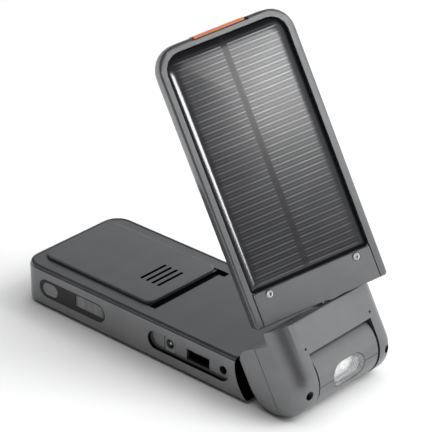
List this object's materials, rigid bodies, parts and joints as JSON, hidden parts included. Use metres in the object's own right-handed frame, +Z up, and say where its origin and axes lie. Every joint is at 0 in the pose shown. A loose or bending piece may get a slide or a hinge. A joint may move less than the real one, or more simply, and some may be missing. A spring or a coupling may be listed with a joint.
{
  "type": "solar phone charger",
  "caption": "Pocket solar power pack: flat battery base with sockets and a torch knuckle, and a flip-and-swivel solar panel lid.",
  "frame": {"origin": "centre of the sole pad's underside, beneath the middle of the flat body", "axes": "+X along the body towards the torch knuckle, +Y across it away from the socket side, +Z up"},
  "size_m": [0.1623, 0.06, 0.1497],
  "materials": {
    "shell_plastic": "fine satin moulded shell",
    "cover_plastic": "fine satin moulded cover",
    "gloss_black": "polished black window",
    "indicator_plastic": "smoked light guide",
    "button_plastic": "satin grey key cap",
    "black_plastic": "moulded black insulator",
    "bare_steel": "bright stamped steel",
    "dark_screw_steel": "blackened screws",
    "bright_screw_steel": "bright nickel-plated screws",
    "clear_lens": "clear torch lens",
    "reflector_chrome": "vacuum-plated reflector",
    "led_epoxy": "clear epoxy dome",
    "circuit_board": "green solder mask",
    "contact_brass": "plated spring contacts",
    "battery_wrap": "plain shrink wrap",
    "pad_rubber": "moulded anti-slip rubber",
    "foam": "closed-cell foam",
    "solar_wafer": "dark silicon wafer",
    "cell_gloss": "domed clear resin over the dark cell",
    "latch_plastic": "orange slide key"
  },
  "bodies": {
    "base": {"lower_shell": "shell_plastic", "upper_shell": "shell_plastic", "battery_pack": "battery_wrap", "battery_contacts": "contact_brass", "main_board": "circuit_board", "side_window": "gloss_black", "indicator_lens": "indicator_plastic", "key_switch": "black_plastic", "dc_jack": "button_plastic", "dc_pin": "bare_steel", "usb_shell": "bare_steel", "usb_tongue": "black_plastic", "aux_socket": "black_plastic", "torch_lens": "clear_lens", "torch_reflector": "reflector_chrome", "torch_led_1": "led_epoxy", "torch_led_2": "led_epoxy", "led_board": "circuit_board", "case_screw_1": "dark_screw_steel", "case_screw_2": "dark_screw_steel", "case_screw_3": "dark_screw_steel", "case_screw_4": "dark_screw_steel", "sole_pad": "pad_rubber", "hinge_pin_left": "bare_steel", "hinge_pin_right": "bare_steel"},
    "cover": {"battery_cover": "cover_plastic"},
    "button": {"power_button": "button_plastic"},
    "head": {"head_shell": "shell_plastic", "ear_cover_left": "shell_plastic", "ear_cover_right": "shell_plastic", "ear_screw_left": "dark_screw_steel", "ear_screw_right": "dark_screw_steel", "friction_washer_left": "bare_steel", "friction_washer_right": "bare_steel", "swivel_bush": "black_plastic"},
    "lid": {"panel_frame": "shell_plastic", "panel_back": "shell_plastic", "foam_pad": "foam", "charge_board": "circuit_board", "solar_cell": "solar_wafer", "cell_window": "cell_gloss", "hinge_strip": "cover_plastic", "strip_screw_left": "bright_screw_steel", "strip_screw_right": "bright_screw_steel", "swivel_shaft": "bare_steel", "swivel_clip": "bare_steel", "latch_spring": "bare_steel"},
    "latch": {"latch_slider": "latch_plastic"}
  },
  "joints": [
    {"name": "panel_flip", "type": "hinge", "parent": "base", "child": "head", "pos_m": [0.0839, 0, 0.015], "axis": [0, 1, 0], "range_deg": [-61.3, 73.7]},
    {"name": "panel_swivel", "type": "hinge", "parent": "head", "child": "lid", "pos_m": [0.09293, 0.001, 0.01995], "axis": [0.4802, 0, -0.8771], "range_deg": [-26.5, 32]},
    {"name": "cover_slide", "type": "slide", "parent": "base", "child": "cover", "axis": [1, 0, 0], "range_m": [0, 0.0035]},
    {"name": "button_press", "type": "slide", "parent": "base", "child": "button", "axis": [0, 1, 0], "range_m": [0, 0.0004], "stiffness_N_per_m": 1500},
    {"name": "latch_slide", "type": "slide", "parent": "lid", "child": "latch", "axis": [0.39, 0.8957, 0.2135], "range_m": [0, 0.0015], "stiffness_N_per_m": 400}
  ],
  "couplings": [
    {"joint": "panel_swivel", "follows": "panel_flip", "ratio": 0.43067}
  ]
}
